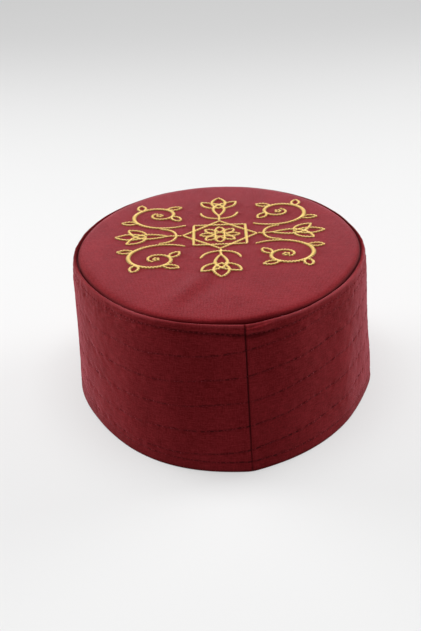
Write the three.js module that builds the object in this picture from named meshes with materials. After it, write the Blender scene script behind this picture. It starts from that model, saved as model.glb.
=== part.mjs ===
// Prayer cap: a soft pillbox of burgundy cloth that stands on its own rim.
// Millimetres, +Z up. The rim lies in the plane z = 0, the long way of the oval runs along Y, and the one
// upright seam of the band is near -Y. A bearing is an angle in degrees about +Z: 0 is -Y, 90 is +X.
import * as THREE from "three";

// Driving dimensions of the whole cap
const HEIGHT = 84.3; // rim to the shoulder of the crown
const HALF_WIDTH = 81.1; // outside of the band, across the head
const HALF_LENGTH = 101.6; // outside of the band, front to back of the head
const OVAL_CENTRE = { x: -1.5, y: 0.8 }; // the folds are uneven, so the oval is off the middle of its box
const SEAM_BEARING = { rim: 7.15, top: 6.3 }; // the upright seam leans a little
const CLEARANCE = 0.3; // between the crown's edge and the lip it is sewn into

// The band: two layers of cloth and the stiffener between them, sewn as one wall
const WALL = 2.4;
const RIM_ROUND = 0.8; // rounding of the rim's two edges
const HEM_HEIGHT = 11; // the lower edge is turned in this far
const HEM_EXTRA = 0.6; // and is thicker by this much, on the inside
const SEAM_GROOVE = { depth: 0.9, halfWidth: 0.7 }; // the width is in degrees
const ALLOWANCE_HEIGHT = 77.5; // the upper edge is turned down inside to this height
const WALL_RINGS = [0.32, 0.52, 0.73]; // shares of the height where the wall's surfaces have a ring of points

// The rolled lip along the crown seam: an arc that starts above the topstitch groove and ends in the seam
const LIP = { inset: 1.6, height: 81.2, across: 1.2, up: 1.5, fromDeg: -15, toDeg: 155, steps: 7 };
const TOPSTITCH_GROOVE = { inset: 0.8, height: 79 };
const LIP_FOOT = 76.8; // the wall is plain up to here

// Folds of the soft band. Bearings are counted from the seam. The last two columns are the millimetres
// that the fold adds to the plan's radius at the rim and at the crown.
const FOLDS = [
  { fold: "corner pinched at the seam", bearing: 0, spread: 7, sharp: true, rim: 2.7, top: 1.3 },
  { fold: "flat to the left of the seam", bearing: -55, spread: 20, sharp: false, rim: -2.8, top: -1.4 },
  { fold: "flat to the right of the seam", bearing: 25, spread: 12, sharp: false, rim: -0.5, top: -0.6 },
  { fold: "right side flaring at the rim", bearing: 83, spread: 15, sharp: false, rim: 5.6, top: 0.7 },
  { fold: "left side flaring at the rim", bearing: -96, spread: 16, sharp: false, rim: 2.8, top: 0.3 },
];
const FOLD_FADE = 1.3; // how fast a fold of the rim dies away upwards
const CORNER_ROUND = 0.25; // rounding of a sharp fold's corner, as a share of its spread

// The crown panel
const CROWN_THICKNESS = 1.8;
const CROWN_SAG = 0.9; // the middle hangs this far below the edge's shoulder
const EDGE_DROP = { depth: 2.5, reach: 1.8 }; // the panel rounds down into the seam
const CROWN_RINGS = [0.16, 0.32, 0.48, 0.63, 0.76, 0.87, 0.94, 0.97, 0.988, 1]; // shares of the radius

// Soft creases of the crown panel: centre, direction from +X, half length, half width and height
const CREASES = [
  { crease: "ridge to the left of the seam", x: -20, y: -64, turn: 66, length: 16, width: 4.5, rise: 1.0 },
  { crease: "hollow beside the ridge", x: -9, y: -60, turn: 62, length: 16, width: 5, rise: -0.6 },
  { crease: "hollow at the far right", x: 40, y: 30, turn: 20, length: 30, width: 14, rise: -0.4 },
];

// Columns of the surfaces, as bearings from the seam: even steps, and the two lips of the seam groove
const COLUMN_COUNT = 120;
const columns = [0, SEAM_GROOVE.halfWidth];
for (let i = 1; i < COLUMN_COUNT; i++) columns.push((i * 360) / COLUMN_COUNT);
columns.push(360 - SEAM_GROOVE.halfWidth);

const radians = THREE.MathUtils.degToRad;

// A bearing brought into the range -180 to 180.
function wrapped(bearing) {
  return THREE.MathUtils.euclideanModulo(bearing + 180, 360) - 180;
}

// How far a fold reaches at a bearing from the seam: 1 in its middle, with a corner there if it is sharp.
function foldShare(fold, bearing) {
  const away = Math.abs(wrapped(bearing - fold.bearing)) / fold.spread;
  return Math.exp(fold.sharp ? CORNER_ROUND - Math.hypot(away, CORNER_ROUND) : -0.5 * away * away);
}

// Outside of the band at a bearing from the seam and a height: a point on the oval moved by the folds, and
// then inwards by the inset.
function bandPoint(column, inset, height) {
  const rise = height / HEIGHT;
  const bearing = radians(column + THREE.MathUtils.lerp(SEAM_BEARING.rim, SEAM_BEARING.top, rise));
  const right = Math.sin(bearing);
  const back = Math.cos(bearing);
  let radius = (HALF_WIDTH * HALF_LENGTH) / Math.hypot(HALF_LENGTH * right, HALF_WIDTH * back) - inset;
  for (const fold of FOLDS) {
    const depth = fold.rim * (1 - rise) ** FOLD_FADE + fold.top * rise;
    radius += depth * foldShare(fold, column);
  }
  return new THREE.Vector3(OVAL_CENTRE.x + radius * right, OVAL_CENTRE.y - radius * back, height);
}

// A closed surface through rings of points that all have one point per column. Rings follow one another
// along the section, and the last joins the first, or a single point closes each end.
function surfaceThrough(rings, endPoints = null) {
  const count = columns.length;
  const points = rings.flat();
  const faces = [];
  const joins = endPoints ? rings.length - 1 : rings.length;
  for (let r = 0; r < joins; r++) {
    const near = r * count;
    const far = ((r + 1) % rings.length) * count;
    for (let c = 0; c < count; c++) {
      const next = (c + 1) % count;
      faces.push(near + c, near + next, far + c, near + next, far + next, far + c);
    }
  }
  if (endPoints) {
    const [first, last] = [points.length, points.length + 1];
    const lastRing = (rings.length - 1) * count;
    points.push(...endPoints);
    for (let c = 0; c < count; c++) {
      const next = (c + 1) % count;
      faces.push(first, next, c);
      faces.push(last, lastRing + c, lastRing + next);
    }
  }
  const geometry = new THREE.BufferGeometry().setFromPoints(points);
  geometry.setIndex(faces);
  geometry.computeVertexNormals();
  return geometry;
}

// Section of the band as [inset, height] from the rim up the outside, over the lip and down the inside.
function bandSection() {
  const lip = [];
  for (let i = 0; i <= LIP.steps; i++) {
    const angle = radians(THREE.MathUtils.lerp(LIP.fromDeg, LIP.toDeg, i / LIP.steps));
    lip.push([LIP.inset - LIP.across * Math.cos(angle), LIP.height + LIP.up * Math.sin(angle)]);
  }
  const wallHeights = [HEM_HEIGHT + HEM_EXTRA, ...WALL_RINGS.map((share) => share * HEIGHT)];
  const outside = [
    [RIM_ROUND, 0],
    [0, RIM_ROUND],
    ...wallHeights.map((height) => [0, height]),
    [0, LIP_FOOT],
    [TOPSTITCH_GROOVE.inset, TOPSTITCH_GROOVE.height],
    ...lip,
  ];
  const seamInset = lip.at(-1)[0];
  const hemInset = WALL + HEM_EXTRA;
  const inside = [
    [seamInset, ALLOWANCE_HEIGHT],
    [WALL, ALLOWANCE_HEIGHT - (seamInset - WALL) / 2],
    ...wallHeights.map((height) => [WALL, height]).reverse(),
    [hemInset, HEM_HEIGHT],
    [hemInset, RIM_ROUND],
    [hemInset - RIM_ROUND, 0],
  ];
  return { outside, inside, seamInset };
}

const section = bandSection();

// The upright seam is a groove in the outside face. It runs out over the lip, where the crown's edge begins.
function seamInsetAt(column, inset) {
  return column === 0 ? inset + SEAM_GROOVE.depth * (1 - inset / section.seamInset) : inset;
}

function bandGeometry() {
  const outside = section.outside.map(([inset, height]) =>
    columns.map((column) => bandPoint(column, seamInsetAt(column, inset), height)),
  );
  const inside = section.inside.map(([inset, height]) =>
    columns.map((column) => bandPoint(column, inset, height)),
  );
  return surfaceThrough([...outside, ...inside]);
}

// Height of the crown's upper face at a point, a given distance inside the seam.
function crownHeight(x, y, share, distance) {
  let height = HEIGHT - CROWN_SAG * (1 - share * share);
  height -= EDGE_DROP.depth * Math.exp(-distance / EDGE_DROP.reach);
  for (const crease of CREASES) {
    const turn = radians(crease.turn);
    const along = ((x - crease.x) * Math.cos(turn) + (y - crease.y) * Math.sin(turn)) / crease.length;
    const across = ((y - crease.y) * Math.cos(turn) - (x - crease.x) * Math.sin(turn)) / crease.width;
    height += crease.rise * Math.exp(-0.5 * (along * along + across * across)) * (1 - share ** 4);
  }
  return height;
}

function crownGeometry() {
  const inset = section.seamInset + CLEARANCE;
  const edge = columns.map((column) => bandPoint(column, inset, HEIGHT));
  const centre = new THREE.Vector3(OVAL_CENTRE.x, OVAL_CENTRE.y, 0);
  const faceRing = (share, thickness) =>
    edge.map((corner) => {
      const point = centre.clone().lerp(corner, share);
      const distance = (1 - share) * Math.hypot(corner.x - centre.x, corner.y - centre.y);
      point.z = crownHeight(point.x, point.y, share, distance) - thickness;
      return point;
    });
  const upper = CROWN_RINGS.map((share) => faceRing(share, 0));
  const lower = CROWN_RINGS.map((share) => faceRing(share, CROWN_THICKNESS));
  const middle = (thickness) =>
    centre.clone().setZ(crownHeight(centre.x, centre.y, 0, HALF_WIDTH) - thickness);
  return surfaceThrough([...lower, ...upper.reverse()], [middle(CROWN_THICKNESS), middle(0)]);
}

const burgundyCloth = new THREE.MeshStandardMaterial({ color: 0x7d2a31, roughness: 0.85, metalness: 0 });
const shadedCloth = new THREE.MeshStandardMaterial({ color: 0x6f2229, roughness: 0.85, metalness: 0 });

const sideBand = new THREE.Mesh(bandGeometry(), shadedCloth);
sideBand.name = "side_band";

const crown = new THREE.Mesh(crownGeometry(), burgundyCloth);
crown.name = "crown";

const prayerCap = new THREE.Group();
prayerCap.name = "prayer_cap";
prayerCap.add(sideBand, crown);

export default prayerCap;
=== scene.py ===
"""Prayer cap of burgundy cloth: a quilted side band and a flat crown with gold embroidery."""

import bpy
import numpy as np
from mathutils import Matrix, Vector


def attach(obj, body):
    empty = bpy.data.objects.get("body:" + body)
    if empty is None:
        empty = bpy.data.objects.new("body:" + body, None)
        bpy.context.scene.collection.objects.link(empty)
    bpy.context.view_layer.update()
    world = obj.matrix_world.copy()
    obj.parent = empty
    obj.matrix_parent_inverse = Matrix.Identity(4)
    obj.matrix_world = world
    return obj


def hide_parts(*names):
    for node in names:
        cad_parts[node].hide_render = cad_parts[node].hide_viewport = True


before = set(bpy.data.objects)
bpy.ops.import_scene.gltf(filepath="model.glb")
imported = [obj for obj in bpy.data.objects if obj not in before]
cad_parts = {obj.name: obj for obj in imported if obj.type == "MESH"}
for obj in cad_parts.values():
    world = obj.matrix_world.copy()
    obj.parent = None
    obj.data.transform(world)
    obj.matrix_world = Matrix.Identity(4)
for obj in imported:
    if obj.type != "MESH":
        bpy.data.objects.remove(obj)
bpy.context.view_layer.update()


# Side band
# One strip of burgundy cloth, doubled over a stiffening and closed by a single upright seam. It is quilted
# in one long spiral of stitches, turned in at the rim and rolled into a small lip where the crown is sewn in.

HEIGHT = 0.0843  # rim to the shoulder of the crown
HALF_WIDTH = 0.0811
HALF_LENGTH = 0.1016
OVAL_CENTRE = (-0.0015, 0.0008)
SEAM_AT_RIM = 7.15  # bearing of the upright seam, in degrees from -Y
SEAM_AT_TOP = 6.3
FOLDS = (
    # bearing from the seam and spread in degrees, pointed or round, then metres at the rim and at the crown
    (0, 7, True, 0.0027, 0.0013),
    (-55, 20, False, -0.0028, -0.0014),
    (25, 12, False, -0.0005, -0.0006),
    (83, 15, False, 0.0056, 0.0007),
    (-96, 16, False, 0.0028, 0.0003),
)
FOLD_FADE = 1.3  # how fast a fold of the rim dies away upwards
CORNER_ROUND = 0.25  # rounding of a pointed fold, as a share of its spread


def wrapped(bearing):
    """A bearing in degrees brought into the range from -180 to 180."""
    return np.mod(bearing + 180, 360) - 180


def band_point(column, inset, height):
    """Point of the band: the radius of an oval at a bearing from the seam, plus each fold's share of it at
    this height, less the inset. A fold's share falls off as a bell, or from a corner where it is pointed."""
    rise = height / HEIGHT
    bearing = np.radians(column + SEAM_AT_RIM + (SEAM_AT_TOP - SEAM_AT_RIM) * rise)
    right, back = np.sin(bearing), np.cos(bearing)
    radius = HALF_WIDTH * HALF_LENGTH / np.hypot(HALF_LENGTH * right, HALF_WIDTH * back) - inset
    for at, spread, pointed, rim, top in FOLDS:
        away = np.abs(wrapped(column - at)) / spread
        share = np.exp(CORNER_ROUND - np.hypot(away, CORNER_ROUND) if pointed else -0.5 * away**2)
        radius = radius + share * (rim * (1 - rise) ** FOLD_FADE + top * rise)
    x = OVAL_CENTRE[0] + radius * right
    y = OVAL_CENTRE[1] - radius * back
    return np.stack(np.broadcast_arrays(x, y, height), axis=-1)


turn_table = np.linspace(0, 360, 1441)
turn_points = band_point(turn_table, 0.0, np.full_like(turn_table, HEIGHT / 2))
turn_steps = np.linalg.norm(np.diff(turn_points, axis=0), axis=1)
girth_table = np.concatenate([[0], np.cumsum(turn_steps)])
GIRTH = girth_table[-1]


def girth_at(column):
    """Distance round the band from the seam, read off the oval at half height. It runs on past one turn."""
    turns = np.floor(column / 360)
    return turns * GIRTH + np.interp(column - 360 * turns, turn_table, girth_table)


def column_at(girth):
    """The bearing from the seam at a distance round the band."""
    turns = np.floor(girth / GIRTH)
    return turns * 360 + np.interp(girth - turns * GIRTH, girth_table, turn_table)


# The rows of stitches: a ring under the lip, a ring above the rim, and a spiral that runs down from one to
# the other and takes most of each row's drop in a short slope at the seam.
TOPSTITCH_HEIGHT = 0.0790
TOPSTITCH_DIP = 0.0021
DIP_BEARING = 6
DIP_SPREAD = 15
EDGE_STITCH_HEIGHT = 0.0060
LAST_ROW_GAP = 0.0029  # between the end of the spiral and the edge stitching
FIRST_ROW_AT_SEAM = 0.0688
ROW_DROP = 0.01407  # from one row to the next
ROW_COUNT = 5
ROW_SLOPE = 0.0066  # half of the drop that falls in the slope at the seam
SLOPE_SPREAD = 35.6
LEVELLING = 0.0006
SPIRAL_FROM = 333  # bearings where the spiral begins and ends, counted on through its turns
SPIRAL_TO = -1540
ROW_STITCH = GIRTH / 125  # from one needle hole to the next but one
TOPSTITCH = GIRTH / 225
ROW_WOBBLE = 0.00025
ROW_WOBBLES = (6.7, 15.3)  # waves of the sewing hand in one turn
STITCH_SHARE = 0.66  # of that length lies on top


def row_height(column):
    """Height of the spiral at a bearing that runs on past a full turn: one drop for each turn, a slow fall
    round the band, a smooth step at the seam, and the sewing hand's small wobble. It levels out a little
    above the edge stitching."""
    turns = np.floor((column + 180) / 360)
    local = column - 360 * turns
    slow = (ROW_DROP - 2 * ROW_SLOPE) * local / 360
    waves = sum(np.sin(np.radians(column) * count + phase) for phase, count in enumerate(ROW_WOBBLES))
    slope = ROW_SLOPE * np.tanh(local / SLOPE_SPREAD)
    falling = FIRST_ROW_AT_SEAM + turns * ROW_DROP + slow + slope + ROW_WOBBLE * waves
    lowest = EDGE_STITCH_HEIGHT + LAST_ROW_GAP
    return (falling + lowest) / 2 + np.hypot((falling - lowest) / 2, LEVELLING)


def spiral_rows(column, height):
    """Rows of the spiral above a point of the band, for bearings from 0 to 360: a whole number on each row,
    and even steps from one row to the next."""
    rows = np.minimum((row_height(column) - height) / ROW_DROP, 0)
    for turn in range(ROW_COUNT):
        upper = row_height(column - 360 * turn)
        below = column - 360 * (turn + 1)
        lower = np.where(below > SPIRAL_TO, row_height(below), upper - ROW_DROP)
        rows = rows + np.clip((upper - height) / (upper - lower), 0, 1)
    return rows + np.maximum(lower - height, 0) / ROW_DROP


def spiral_distance(column, height):
    """Upright distance to the nearest row of the spiral, or half a row where the spiral isn't sewn."""
    rows = spiral_rows(column, height)
    nearest = np.round(rows)
    along = column - 360 * nearest
    sewn = (along < SPIRAL_FROM) & (along > SPIRAL_TO)
    return np.where(sewn, np.abs(rows - nearest), 0.5) * ROW_DROP


def bell(distance, reach):
    """1 at no distance and falling off as a bell curve."""
    return np.exp(-((distance / reach) ** 2))


def bells(column, table):
    """Sum over a table whose rows are a bearing from the seam, a spread in degrees and an amount: each amount
    times a bell round its bearing."""
    return sum(amount * bell(wrapped(column - bearing), spread) for bearing, spread, amount in table)


def topstitch_height(column):
    """Height of the ring of stitches under the lip, which dips just to the right of the seam."""
    return TOPSTITCH_HEIGHT - TOPSTITCH_DIP * bell(wrapped(column - DIP_BEARING), DIP_SPREAD)


def ring_depth(column, height):
    """Upright distance inside the two rings of stitches: 0 on each ring, and less than 0 beyond them."""
    return np.minimum(height - EDGE_STITCH_HEIGHT, topstitch_height(column) - height)


def seam_distance(column):
    """Distance round the band to the upright seam."""
    return np.abs(wrapped(column)) / 360 * GIRTH


WAVE = 0.00008
WAVES_A_TURN = (3, 4, 5, 7, 8, 10, 13, 17, 22)
WAVE_LEAN = 60  # most radians of a wave in a metre of height
PUCKER = 0.000026
PUCKER_LENGTHS = np.linspace(0.005, 0.012, 12)
GATHER = 0.000030
GATHER_LENGTHS = np.linspace(0.0035, 0.006, 10)
GATHER_HEIGHT = 0.0765
GATHER_REACH = 0.007


def long_waves(column, height):
    """Soft unevenness of stiffened cloth: a sum of long waves round and up the band, of seeded size."""
    draws = np.random.default_rng(21)
    total = 0
    for count in WAVES_A_TURN:
        lean = draws.uniform(-WAVE_LEAN, WAVE_LEAN)
        phase, size = draws.uniform(0, 2 * np.pi), draws.uniform(0.4, 1)
        total = total + size * np.cos(np.radians(column) * count + lean * height + phase)
    return WAVE * total


def wrinkles(column, height, lengths, seed):
    """Small wrinkles with no fixed direction: a sum of waves of these lengths, each of seeded direction."""
    draws = np.random.default_rng(seed)
    total = 0
    for length in lengths:
        lean, phase = draws.uniform(0, np.pi), draws.uniform(0, 2 * np.pi)
        along = girth_at(column) * np.cos(lean) + height * np.sin(lean)
        total = total + np.cos(2 * np.pi * along / length + phase)
    return total


def gathers(column, height):
    """Small dents that the tight topstitch leaves in the cloth: wrinkles that die away below the lip."""
    return GATHER * wrinkles(column, height, GATHER_LENGTHS, 5) * bell(height - GATHER_HEIGHT, GATHER_REACH)


SOFT_DENTS = (
    # bearing from the seam, height, spread in degrees, reach up and down, and metres outwards
    (28, 0.055, 8.4, 0.0420, -0.0012),
    (40, 0.055, 8.4, 0.0420, 0.0007),
    (-29, 0.066, 5.6, 0.0168, 0.0004),
    (-62, 0.040, 9.8, 0.0420, 0.0003),
    (86, 0.066, 12.6, 0.0168, 0.0006),
    (86, 0.017, 12.6, 0.0098, 0.0006),
)


def soft_dents(column, height):
    """Hollows and swellings that a hand has left in the wall: bells round a bearing and a height."""
    total = 0
    for at, middle, spread, reach, size in SOFT_DENTS:
        total = total + size * bell(wrapped(column - at), spread) * bell(height - middle, reach)
    return total


SMOOTH_FRONT = 24  # degrees from the seam over which the cloth under the lip goes from puckered to smooth
BACK_FROM = 80  # degrees from the seam where the back begins
BACK_FADE = 20
SLACK_HEIGHT = 0.0705  # just above the first row
SLACK_UPPER = 0.1  # pull that is left at the temples, above and below that height
SLACK_LOWER = 0.35
TIGHT_LEFT = 30  # degrees to each side of the seam over which the lower rows go slack
TIGHT_RIGHT = 45
HARD_PULL = 0.6
HARD_SPREAD = 14
HARD_HEIGHT = 0.05


def tightness(column, height):
    """How hard the rows are pulled in: fully near the seam and round the back, less at the temples, and
    least of all above the first row there. Beside the seam they are pulled harder still towards the rim."""
    beside = wrapped(column)
    back = np.clip((np.abs(beside) - BACK_FROM) / BACK_FADE, 0, 1)
    spread = np.where(beside < 0, TIGHT_LEFT, TIGHT_RIGHT)
    upper = SLACK_UPPER + (1 - SLACK_UPPER) * np.maximum(bell(beside, SMOOTH_FRONT), back)
    lower = SLACK_LOWER + (1 - SLACK_LOWER) * np.maximum(bell(beside, spread), back)
    hard = HARD_PULL * bell(beside, HARD_SPREAD) * np.clip(1 - height / HARD_HEIGHT, 0, 1)
    return np.where(height > SLACK_HEIGHT, upper, lower + hard)


LIP_TOP = 0.0827
GROOVE_SINK = 0.0008
GROOVE_HALF = 0.0013
GROOVE_WIDER = 0.6  # the groove is wider by this share at the seam
GROOVE_SLOW = 0.35  # share of it that runs on past the lap
LAP_END = 9  # degrees to the right of the seam
LAP_END_HALF = 1
LAP_LAST = 1 / 3  # share of the lap over which its end thins out
LAP_STEP = 0.0009
LAP_TOP = LIP_TOP - 0.0003
LAP_DROP = 0.0012
LAP_EDGE = 0.0004  # the edge is rounded over this height
LAP_FOOT = 0.0768
LAP_FADE = 0.003
LEAN_FROM = 0.071
LEANS = (
    # bearing from the seam, spread in degrees, and metres that the top of the wall leans in there
    (-62, 22, 0.0009),
    (94, 22, 0.0009),
)


def groove_share(column):
    """How deep the groove under the lip is: it dies away slowly to the left of the seam, and to the right it
    is deep as far as the end of the lap."""
    beside = wrapped(column)
    slow = bell(beside, SMOOTH_FRONT)
    in_lap = np.clip((LAP_END + LAP_END_HALF - beside) / (2 * LAP_END_HALF), 0, 1)
    return np.where(beside < 0, slow, GROOVE_SLOW * slow + (1 - GROOVE_SLOW) * in_lap)


def lap(column, height):
    """How much of the lapped end lies at a point of the lip, just to the right of the seam: 1 under its
    edge, which climbs to the lip's fold, and fading down to the groove."""
    beside = wrapped(column)
    left = np.clip((LAP_END - beside) / LAP_END, 0, 1)
    under_edge = np.clip((LAP_TOP - LAP_DROP * left - height) / LAP_EDGE, 0, 1)
    highlighted = under_edge * np.clip((height - LAP_FOOT) / LAP_FADE, 0, 1)
    return np.where(beside > 0, highlighted * np.clip(left / LAP_LAST, 0, 1), 0)


def lip_folds(column, height):
    """Relief of the lip: the topstitch pulls in a groove under it near the seam, the band's lapped end
    stands out just to the right of the seam, and on both sides of the head the top of the wall leans in."""
    half = GROOVE_HALF * (1 + GROOVE_WIDER * bell(wrapped(column), LAP_END))
    groove = GROOVE_SINK * groove_share(column) * bell(height - topstitch_height(column), half)
    lean = bells(column, LEANS) * np.clip((height - LEAN_FROM) / (HEIGHT - LEAN_FROM), 0, 1)
    return LAP_STEP * lap(column, height) - groove - lean


SWELL = 0.00010  # the wall stands out between the rows
SWELL_REACH = 0.0034
ROW_SINK = 0.00014  # and sinks along them
ROW_HALF = 0.0008
RIPPLE = 0.00006
RIPPLE_REACH = 0.0026
PUCKER_LEAST = 0.4  # share of the puckers away from the rows
PUCKER_REACH = 0.004
SEAM_SINK = 0.0007
SEAM_HALF = 0.00034
SHOULDER = 0.00026
SHOULDER_AT = 0.0016
SHOULDER_HALF = 0.0011
SEAM_FADE = 0.0025  # the seam grows shallow over this height below the lip's top
SEAM_LEAST = 0.3
SEAM_FLAT = 0.5  # and is pressed flatter at the rim
SEAM_FLAT_REACH = 0.014


def quilting(column, height):
    """Outward relief of the sewn wall: it swells between the rows, sinks along them and ripples at each
    stitch. The upright seam is a groove between two soft shoulders."""
    near = spiral_distance(column, height)
    nearest = np.minimum(near, np.abs(ring_depth(column, height)))
    pull = tightness(column, height)
    swell = SWELL * (1 - bell(nearest, SWELL_REACH)) - ROW_SINK * pull * bell(nearest, ROW_HALF)
    along_stitch = girth_at(column) / ROW_STITCH - STITCH_SHARE / 2
    ripple = RIPPLE * pull * np.cos(2 * np.pi * along_stitch) * bell(near, RIPPLE_REACH)
    puckers = PUCKER * wrinkles(column, height, PUCKER_LENGTHS, 8)
    puckers = puckers * (PUCKER_LEAST + bell(near, PUCKER_REACH))
    beside = seam_distance(column)
    seam = SHOULDER * bell(beside - SHOULDER_AT, SHOULDER_HALF) - SEAM_SINK * bell(beside, SEAM_HALF)
    seam = seam * np.clip((LIP_TOP - height) / SEAM_FADE, SEAM_LEAST, 1)
    seam = seam * (1 - SEAM_FLAT * bell(height, SEAM_FLAT_REACH))
    sewn = swell + ripple + puckers + soft_dents(column, height) + seam
    return sewn + long_waves(column, height) + gathers(column, height) + lip_folds(column, height)


WALL = 0.0024
RIM_ROUND = 0.0008
HEM_HEIGHT = 0.011
HEM_EXTRA = 0.0006
ALLOWANCE_HEIGHT = 0.0775  # the upper edge is turned down inside to this height
LIP_FOLD = 0.0016
LIP_OUTLINE = (
    # inset and height of the points that the lip's section runs through
    (0.0000, 0.0755),
    (0.0001, 0.0770),
    (0.0002, 0.0785),
    (0.0003, 0.0800),
    (0.0004, 0.0812),
    (0.0006, 0.0821),
    (0.0010, 0.0826),
    (LIP_FOLD, LIP_TOP),
    (0.0022, 0.0823),
    (0.0027, 0.0815),  # down in the crown seam
)
LIP_LIFTS = (
    # bearing from the seam, spread in degrees, and metres that the lip stands higher there
    (-40, 32, 0.0008),
    (48, 14, 0.0005),
    (18, 14, -0.0006),
    (2, 5, -0.0005),
)
SEAM_SHIFTS = (
    # bearing from the seam, spread in degrees, and metres that the crown is sewn further in there
    (-52, 18, 0.0010),
    (45, 14, 0.0006),
)
BAND_COLUMNS = 540
SEAM_COLUMNS = np.array([0.12, 0.24, 0.36, 0.48, 0.8, 1.0])  # more columns in the seam's groove


def smooth_curve(points, steps):
    """Curve through points: a cubic on each stretch, whose slope at a point is half the step between that
    point's two neighbours."""
    points = np.array(points)
    slope = np.gradient(points, axis=0)
    s = np.arange(steps)[None, :, None] / steps
    rise, fall = 3 * s**2 - 2 * s**3, 1 - 3 * s**2 + 2 * s**3
    leave, arrive = s - 2 * s**2 + s**3, s**3 - s**2
    curve = fall * points[:-1, None] + rise * points[1:, None]
    curve = curve + leave * slope[:-1, None] + arrive * slope[1:, None]
    return np.concatenate([curve.reshape(-1, points.shape[1]), points[-1:]])


def straight(inset, from_height, to_height, count):
    """Straight stretch of the section at one inset, with even steps of height."""
    return np.stack([np.full(count, inset), np.linspace(from_height, to_height, count)], axis=1)


quarter = np.radians(np.linspace(0, 90, 5))
round_up, round_in = RIM_ROUND * np.sin(quarter), RIM_ROUND * (1 - np.cos(quarter))
rim_outside = np.stack([RIM_ROUND - round_up, round_in], axis=1)
lip = smooth_curve(LIP_OUTLINE, 4)
wall_outside = straight(0, RIM_ROUND, lip[0, 1], 99)[1:-1]
outside_section = np.concatenate([rim_outside, wall_outside, lip])
SEAM_INSET, SEAM_HEIGHT = lip[-1]
allowance = straight(SEAM_INSET, SEAM_HEIGHT, ALLOWANCE_HEIGHT, 5)[1:]
wall_inside = straight(WALL, ALLOWANCE_HEIGHT - (SEAM_INSET - WALL) / 2, HEM_HEIGHT + HEM_EXTRA, 20)
hem_inside = straight(WALL + HEM_EXTRA, HEM_HEIGHT, RIM_ROUND, 6)
rim_inside = hem_inside[-1] - np.stack([round_in, round_up], axis=1)[1:]
inside_section = np.concatenate([allowance, wall_inside, hem_inside, rim_inside])

even_columns = np.linspace(0, 360, BAND_COLUMNS, endpoint=False)
columns = np.unique(np.concatenate([even_columns, SEAM_COLUMNS, 360 - SEAM_COLUMNS]))


def lip_share(height):
    """How far up the lip a height lies: 0 at its foot and 1 from the level of the crown seam upwards."""
    return np.clip((height - lip[0, 1]) / (SEAM_HEIGHT - lip[0, 1]), 0, 1)


def outside_inset(height):
    """Inset of the band's outer face at a height, read off its section."""
    rising = outside_section[: np.argmax(outside_section[:, 1]) + 1]
    return np.interp(height, rising[:, 1], rising[:, 0])


def outside_point(column, height):
    """Point of the finished outer face, with its quilting."""
    lifted = height + lip_share(height) * bells(column, LIP_LIFTS)
    return band_point(column, outside_inset(height) - quilting(column, height), lifted)


def outward(column):
    """Level unit vector that points out of the band at a bearing from the seam."""
    bearing = np.radians(column + (SEAM_AT_RIM + SEAM_AT_TOP) / 2)
    return np.stack([np.sin(bearing), -np.cos(bearing), np.zeros_like(bearing)], axis=-1)


def ring_faces(rings, count):
    """Quads between closed rings of points, each ring joined to the next one."""
    near = np.arange(rings - 1)[:, None] * count
    here = np.arange(count)[None, :]
    after = (here + 1) % count
    quads = (near + here, near + after, near + count + after, near + count + here)
    return np.stack(quads, axis=-1).reshape(-1, 4)


def piece(name, points, faces, uv, material, attributes):
    """An object from arrays: its mesh, a UV map in metres along the cloth or thread, and named values at its
    points for the material."""
    mesh = bpy.data.meshes.new(name)
    mesh.from_pydata(points.tolist(), [], faces)
    corners = np.empty(len(mesh.loops), dtype=np.int32)
    mesh.loops.foreach_get("vertex_index", corners)
    mesh.uv_layers.new(name="cloth").data.foreach_set("uv", uv[corners].astype(np.float32).ravel())
    for attribute, values in attributes.items():
        at_points = mesh.attributes.new(attribute, "FLOAT", "POINT").data
        at_points.foreach_set("value", values.astype(np.float32).ravel())
    mesh.polygons.foreach_set("use_smooth", np.ones(len(mesh.polygons), dtype=bool))
    mesh.materials.append(material)
    mesh.update()
    made = bpy.data.objects.new(name, mesh)
    bpy.context.scene.collection.objects.link(made)
    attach(made, "root")
    return made


def linear(hex_colour):
    """Linear colour of an sRGB hex value, with full alpha."""
    srgb = np.array([int(hex_colour[i : i + 2], 16) for i in (1, 3, 5)]) / 255
    low = srgb / 12.92
    high = ((srgb + 0.055) / 1.055) ** 2.4
    return (*np.where(srgb <= 0.04045, low, high).tolist(), 1.0)


def feed(material, node, inputs):
    """Sets a node's sockets, each to a value or to the socket that feeds it."""
    for name, value in inputs.items():
        if isinstance(value, bpy.types.NodeSocket):
            material.node_tree.links.new(value, node.inputs[name])
        else:
            node.inputs[name].default_value = value


def add_node(material, kind, settings, inputs):
    """Adds one node: settings are its own properties, and inputs its sockets."""
    made = material.node_tree.nodes.new(kind)
    for name, value in settings.items():
        setattr(made, name, value)
    feed(material, made, inputs)
    return made


# Burgundy gabardine: matt woven wool and polyester. The eye gets a deep red with a pale bloom at a low
# angle, fine threads and a few thicker slubs. Shade is painted darker down in the seams and needle holes,
# and a highlight paler along the lip. The threads are drawn twice as coarse as the real 0.35 mm, so they
# show.
CLOTH_RED = "#5b0a0d"
CLOTH_PALE = "#822026"
# painted shade: the colour that the cloth is darkened towards in seams, creases and needle holes
CLOTH_DEEP = "#280506"
# painted highlight along the fold of the lip
CLOTH_HIGHLIGHT = "#b0565c"
SHEEN_PINK = "#ffa6b8"
THREAD_PITCH = 0.0007
SLUB_WIDTH = 0.0005
SLUB_LENGTH = 0.005
SLUBS = (
    # size round and up the band, and how strongly the slubs show
    (SLUB_WIDTH, SLUB_LENGTH, 0.8),
    (SLUB_LENGTH, SLUB_WIDTH, 1.2),
)
SPECK_SIZE = 0.0009
DENT_HALF = 0.0009
DENT_RELIEF = 1.5  # depth of a dent and height of the grain, as shares of a thread's height
GRAIN_RELIEF = 0.6
BRIDGE_PULL = 0.95  # pull above which the dents of a row run together
BRIDGE_LEAST = 0.05
CLOTH_BLOOM = 0.40
TENSION_SIZE = 0.011
BLOTCH_SIZE = 0.03
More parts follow.
